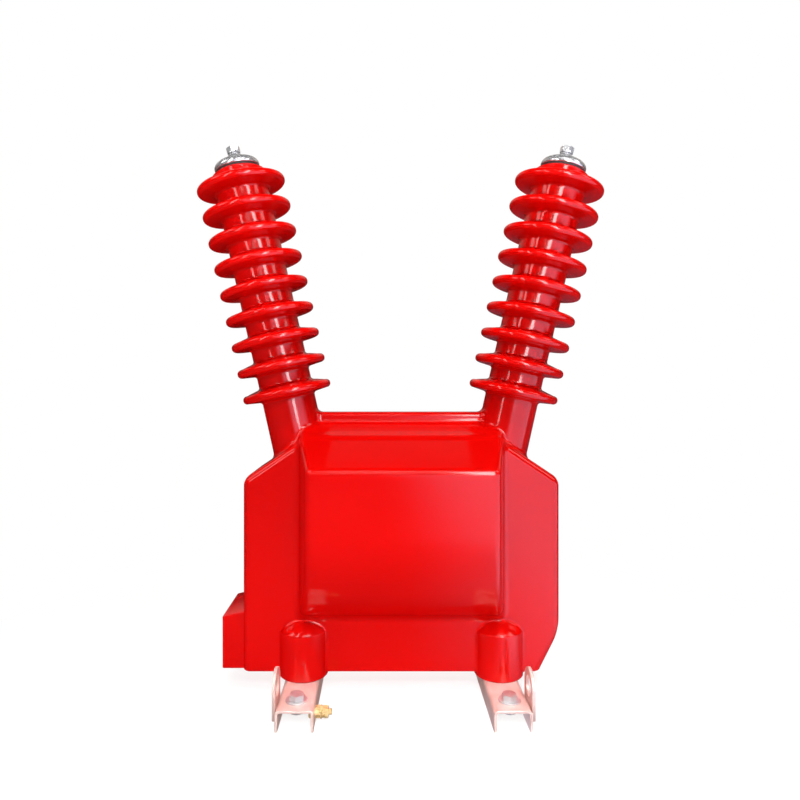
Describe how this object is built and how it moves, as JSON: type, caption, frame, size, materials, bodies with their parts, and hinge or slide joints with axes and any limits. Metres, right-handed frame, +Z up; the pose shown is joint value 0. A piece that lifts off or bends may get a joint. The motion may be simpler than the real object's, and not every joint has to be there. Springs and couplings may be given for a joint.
{
  "type": "instrument transformer",
  "caption": "Outdoor cast-resin voltage transformer: bevelled red body with leaning shed insulators, terminal caps and a side box, on folded steel channels",
  "frame": {"origin": "on the ground, under the middle of the casting", "axes": "+Z up, -Y is the front, +X to the right seen from the front"},
  "size_m": [0.4423, 0.228, 0.582],
  "materials": {
    "red_resin": "cast gloss",
    "core_iron": "plain",
    "band_steel": "plain",
    "press_board": "matt",
    "copper": "plain, copper",
    "brass": "plain",
    "black_rubber": "matt",
    "cap_metal": "bright turned",
    "bright_steel": "bright zinc",
    "zinc_plate": "zinc plated"
  },
  "bodies": {
    "root": {"resin_casting": "red_resin", "laminated_core": "core_iron", "core_bands": "band_steel", "winding_bobbin": "press_board", "secondary_winding": "copper", "insulation_barrier": "press_board", "primary_winding": "copper", "line_lead_left": "copper", "line_lead_right": "copper", "terminal_insert_left": "brass", "terminal_insert_right": "brass", "terminal_gasket_left": "black_rubber", "terminal_gasket_right": "black_rubber", "terminal_cap_left": "cap_metal", "terminal_cap_right": "cap_metal", "cone_washer_left": "bright_steel", "cone_washer_right": "bright_steel", "line_spring_washers": "bright_steel", "line_bolts": "bright_steel", "base_channel_left": "zinc_plate", "base_channel_right": "zinc_plate", "lifting_ear_front_left": "zinc_plate", "lifting_ear_front_right": "zinc_plate", "lifting_ear_rear_left": "zinc_plate", "lifting_ear_rear_right": "zinc_plate", "foot_inserts": "bright_steel", "foot_bolts": "bright_steel", "foot_flat_washers": "bright_steel", "foot_spring_washers": "bright_steel", "end_bolts": "bright_steel", "end_wide_washers": "bright_steel", "end_spring_washers": "bright_steel", "end_nuts": "bright_steel", "earth_bolt": "brass", "earth_nuts": "brass", "earth_washer": "brass", "earth_spring_washer": "brass", "box_cover": "red_resin", "box_gasket": "black_rubber", "box_screws": "bright_steel", "box_screw_inserts": "brass", "cable_bush": "black_rubber", "secondary_studs": "brass", "secondary_washers": "brass", "secondary_nuts": "brass", "secondary_leads": "copper"}
  },
  "joints": []
}
